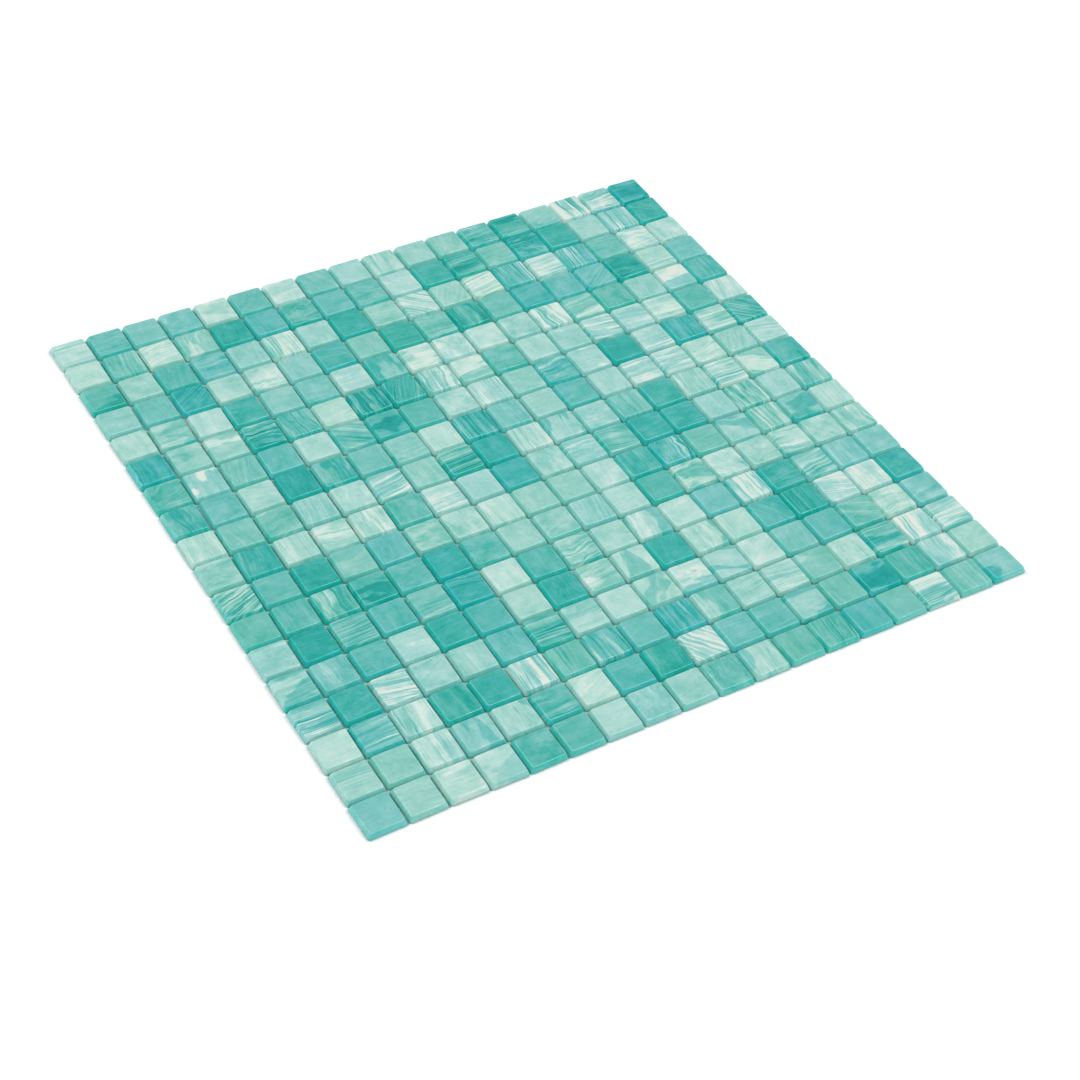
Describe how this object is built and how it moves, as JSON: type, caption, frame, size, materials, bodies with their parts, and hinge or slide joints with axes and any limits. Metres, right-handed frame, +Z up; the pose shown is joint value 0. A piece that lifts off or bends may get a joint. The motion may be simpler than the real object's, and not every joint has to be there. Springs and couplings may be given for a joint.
{
  "type": "glass mosaic tile sheet",
  "caption": "Square sheet of small streaky glass tiles in blended teal, aqua and milky tones, laid face up on a fibre net, for setting on walls and floors.",
  "frame": {"origin": "middle of the sheet, on the plane that the net's underside rests on", "axes": "+Z up out of the tiles' polished faces, X along the front edge of the sheet, Y along its left edge"},
  "size_m": [0.2984, 0.2984, 0.003],
  "materials": {
    "deep_teal_glass": "polished, streaky, saturated teal",
    "teal_glass": "polished, streaky mid teal",
    "aqua_glass": "polished, streaky aqua",
    "pale_aqua_glass": "polished, half-milky pale aqua with streaks",
    "mist_glass": "polished, milky green-white with wisps",
    "net_fibre": "coated off-white fibre yarn"
  },
  "bodies": {
    "root": {"deep_teal_tiles": "deep_teal_glass", "teal_tiles": "teal_glass", "aqua_tiles": "aqua_glass", "pale_aqua_tiles": "pale_aqua_glass", "mist_tiles": "mist_glass", "net_warp_yarns": "net_fibre", "net_weft_yarns": "net_fibre"}
  },
  "joints": []
}
